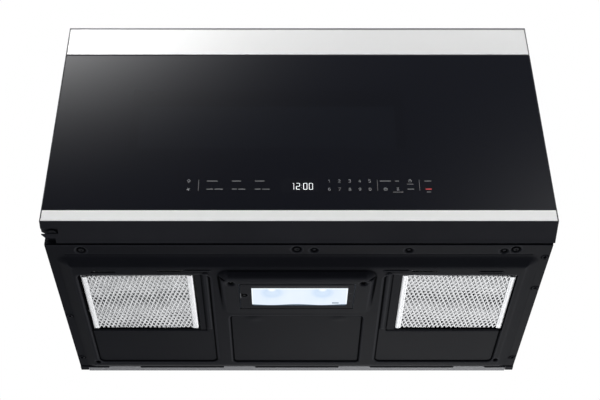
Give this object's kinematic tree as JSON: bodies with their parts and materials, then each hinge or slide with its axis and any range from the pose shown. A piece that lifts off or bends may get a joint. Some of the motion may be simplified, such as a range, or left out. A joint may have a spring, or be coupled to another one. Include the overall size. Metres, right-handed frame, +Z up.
{
  "type": "over-the-range microwave",
  "caption": "Over-the-range microwave oven with a full-width glass door, touch keys and clock behind the glass, and a vent hood in its base with grease filters and a cooktop lamp.",
  "frame": {"origin": "on the back face of the wall plate, in the middle of its width and 45 mm above the base flange", "axes": "+X to the right seen from the kitchen, +Y into the wall, +Z up"},
  "size_m": [0.759, 0.4175, 0.4365],
  "materials": {
    "painted_steel": "semi-gloss black paint",
    "galvanised_steel": "zinc-coated sheet",
    "oven_paint": "smooth light oven paint",
    "black_plastic": "matt moulded",
    "dark_trim": "satin dark grey moulding",
    "motor_steel": "laminated steel",
    "black_glass": "polished black-backed glass",
    "white_glass": "polished white-backed glass",
    "clear_glass": "clear",
    "frosted_lens": "frosted, lit from behind",
    "aluminium": "bright mill finish",
    "copper_winding": "enamelled copper wire",
    "circuit_board": "green solder mask",
    "white_plastic": "moulded",
    "charcoal_pad": "granular charcoal pad"
  },
  "bodies": {
    "cabinet": {"outer_case": "painted_steel", "back_panel": "galvanised_steel", "front_frame": "painted_steel", "hinge_lower": "galvanised_steel", "hinge_upper": "galvanised_steel", "base_plate": "painted_steel", "base_screw_left": "galvanised_steel", "base_screw_middle": "galvanised_steel", "base_screw_right": "galvanised_steel", "wall_plate": "galvanised_steel", "cavity_box": "oven_paint", "waveguide": "galvanised_steel", "waveguide_cover": "white_plastic", "magnetron": "aluminium", "transformer_core": "motor_steel", "transformer_coil": "copper_winding", "capacitor": "aluminium", "power_board": "circuit_board", "latch_housing": "white_plastic", "interlock_switch_lower": "black_plastic", "interlock_switch_upper": "black_plastic", "fan_shroud": "black_plastic", "blower_shelf": "galvanised_steel", "blower_housing_left": "galvanised_steel", "blower_housing_right": "galvanised_steel", "blower_motor": "motor_steel", "damper_frame": "galvanised_steel", "cord_gland": "black_plastic", "vent_panel_frame": "dark_trim", "vent_panel_glass": "white_glass", "charcoal_filter": "charcoal_pad", "turntable_motor": "galvanised_steel", "lamp_housing": "galvanised_steel", "led_board": "white_plastic"},
    "door": {"door_frame": "dark_trim", "door_glass": "black_glass", "door_band": "white_glass", "touch_board": "circuit_board", "door_panel": "painted_steel", "choke_cover": "black_plastic", "inner_window": "clear_glass"},
    "latch_lever": {"latch_lever": "white_plastic"},
    "turntable_drive": {"turntable_coupler": "white_plastic"},
    "tray": {"glass_tray": "clear_glass"},
    "roller_ring": {"roller_ring": "white_plastic"},
    "roller_1": {"roller_1": "white_plastic"},
    "roller_2": {"roller_2": "white_plastic"},
    "roller_3": {"roller_3": "white_plastic"},
    "blower_rotor": {"blower_shaft": "galvanised_steel", "blower_wheel_left": "black_plastic", "blower_wheel_right": "black_plastic"},
    "cooling_fan": {"cooling_fan": "black_plastic"},
    "damper_flap": {"damper_flap": "galvanised_steel"},
    "grease_filter_left": {"grease_filter_left_frame": "aluminium", "grease_filter_left_mesh": "aluminium"},
    "grease_filter_right": {"grease_filter_right_frame": "aluminium", "grease_filter_right_mesh": "aluminium"},
    "lamp_cover": {"lamp_cover": "painted_steel", "lamp_lens": "frosted_lens", "lamp_screw": "galvanised_steel"}
  },
  "joints": [
    {"name": "door_swing", "type": "hinge", "parent": "cabinet", "child": "door", "pos_m": [-0.3635, -0.3955, 0.155], "axis": [0, 0, -1], "range_deg": [0, 93]},
    {"name": "latch_lift", "type": "slide", "parent": "door", "child": "latch_lever", "axis": [0, 0, 1], "range_m": [0, 0.004], "stiffness_N_per_m": 300, "springref_m": -0.006},
    {"name": "turntable_spin", "type": "hinge", "parent": "cabinet", "child": "turntable_drive", "pos_m": [-0.048, -0.195, 0.035], "axis": [0, 0, 1], "continuous": true},
    {"name": "tray_lift", "type": "slide", "parent": "turntable_drive", "child": "tray", "axis": [0, 0, 1], "range_m": [0, 0.05]},
    {"name": "ring_spin", "type": "hinge", "parent": "cabinet", "child": "roller_ring", "pos_m": [-0.048, -0.195, 0.035], "axis": [0, 0, 1], "continuous": true},
    {"name": "roller_1_spin", "type": "hinge", "parent": "roller_ring", "child": "roller_1", "pos_m": [0.064, -0.195, 0.0433], "axis": [1, 0, 0], "continuous": true},
    {"name": "roller_2_spin", "type": "hinge", "parent": "roller_ring", "child": "roller_2", "pos_m": [-0.104, -0.098, 0.0433], "axis": [-0.5, 0.866, 0], "continuous": true},
    {"name": "roller_3_spin", "type": "hinge", "parent": "roller_ring", "child": "roller_3", "pos_m": [-0.104, -0.292, 0.0433], "axis": [-0.5, -0.866, 0], "continuous": true},
    {"name": "blower_spin", "type": "hinge", "parent": "cabinet", "child": "blower_rotor", "pos_m": [0, -0.0675, 0.321], "axis": [1, 0, 0], "continuous": true},
    {"name": "cooling_fan_spin", "type": "hinge", "parent": "cabinet", "child": "cooling_fan", "pos_m": [0.308, -0.0335, 0.113], "axis": [0, 1, 0], "continuous": true},
    {"name": "damper_swing", "type": "hinge", "parent": "cabinet", "child": "damper_flap", "pos_m": [0, -0.0315, 0.3635], "axis": [-1, 0, 0], "range_deg": [0, 70]},
    {"name": "grease_filter_left_swing", "type": "hinge", "parent": "cabinet", "child": "grease_filter_left", "pos_m": [-0.2495, -0.3055, -0.0454], "axis": [-1, 0, 0], "range_deg": [0, 80]},
    {"name": "grease_filter_right_swing", "type": "hinge", "parent": "cabinet", "child": "grease_filter_right", "pos_m": [0.2455, -0.3055, -0.0454], "axis": [-1, 0, 0], "range_deg": [0, 80]},
    {"name": "lamp_cover_swing", "type": "hinge", "parent": "cabinet", "child": "lamp_cover", "pos_m": [0.0815, -0.25789, -0.05539], "axis": [0, -0.9959, -0.0902], "range_deg": [0, 80]}
  ],
  "couplings": [
    {"joint": "ring_spin", "follows": "turntable_spin", "ratio": 0.5},
    {"joint": "roller_1_spin", "follows": "turntable_spin", "ratio": -7},
    {"joint": "roller_2_spin", "follows": "turntable_spin", "ratio": -7},
    {"joint": "roller_3_spin", "follows": "turntable_spin", "ratio": -7}
  ]
}
